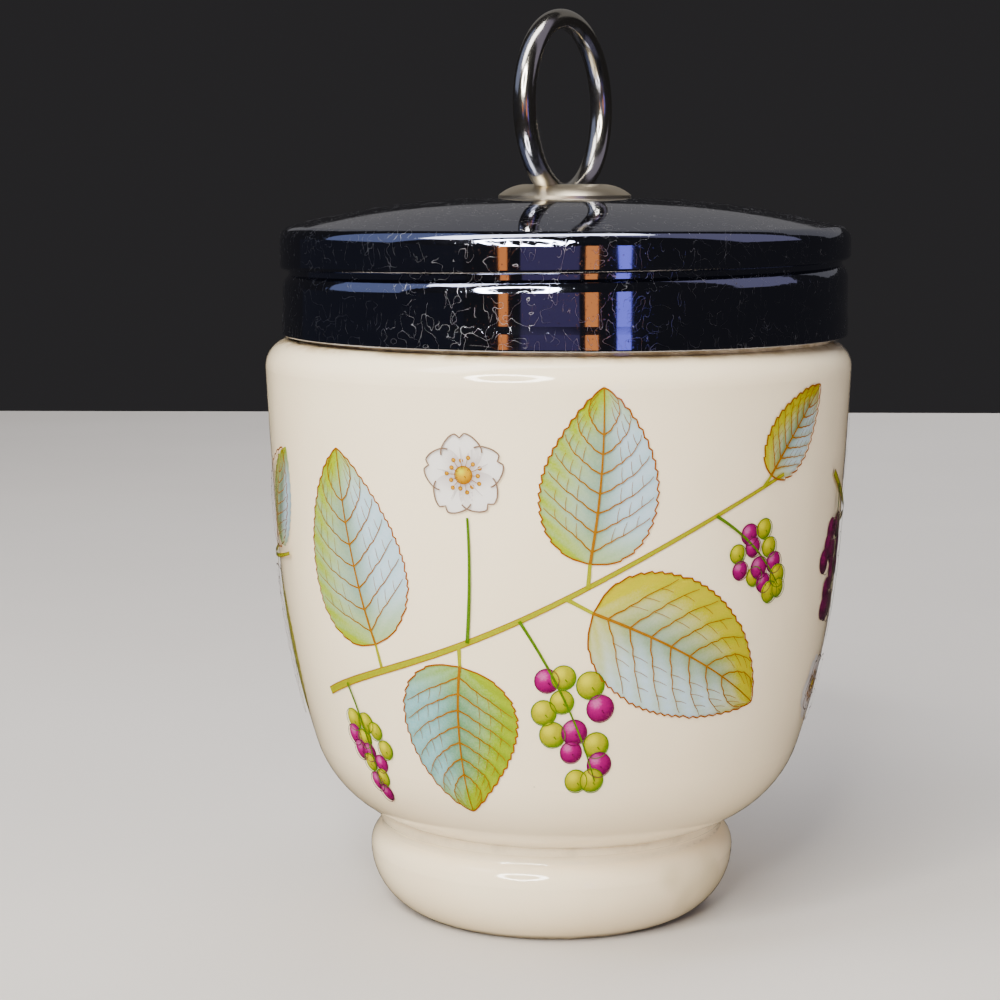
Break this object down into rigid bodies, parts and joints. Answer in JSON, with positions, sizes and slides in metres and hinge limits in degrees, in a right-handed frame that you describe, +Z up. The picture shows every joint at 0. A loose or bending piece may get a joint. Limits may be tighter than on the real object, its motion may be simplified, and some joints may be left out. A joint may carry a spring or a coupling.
{
  "type": "egg coddler",
  "caption": "White porcelain egg coddler on a bulging foot, decorated with leafy berry sprigs, with a bright metal screw lid and a finger ring.",
  "frame": {"origin": "on the table, under the middle of the bowl", "axes": "+Z up, -Y towards the viewer of the picture, +X to the picture's right"},
  "size_m": [0.0731, 0.073, 0.1127],
  "materials": {
    "porcelain": "warm white gloss glaze",
    "lid_chrome": "bright plating with fine wear scratches",
    "ring_nickel": "bright plating, slightly warm",
    "seal_rubber": "matte buff rubber",
    "washer_steel": "plain washer"
  },
  "bodies": {
    "cup": {"cup": "porcelain"},
    "seal": {"sealing_ring": "seal_rubber"},
    "carrier": {"backing_washer": "washer_steel"},
    "lid": {"lid_shell": "lid_chrome", "ring_handle": "ring_nickel", "ring_boss": "ring_nickel"}
  },
  "joints": [
    {"name": "lid_lift", "type": "slide", "parent": "cup", "child": "seal", "axis": [0, 0, 1], "range_m": [0, 0.07]},
    {"name": "lid_rise", "type": "slide", "parent": "seal", "child": "carrier", "axis": [0, 0, 1], "range_m": [0, 0.00225]},
    {"name": "lid_turn", "type": "hinge", "parent": "carrier", "child": "lid", "pos_m": [0.0008, 0, 0.0814], "axis": [0, 0, 1], "range_deg": [0, 270]}
  ],
  "couplings": [
    {"joint": "lid_rise", "follows": "lid_turn", "m_per_rad": 0.00047746}
  ]
}
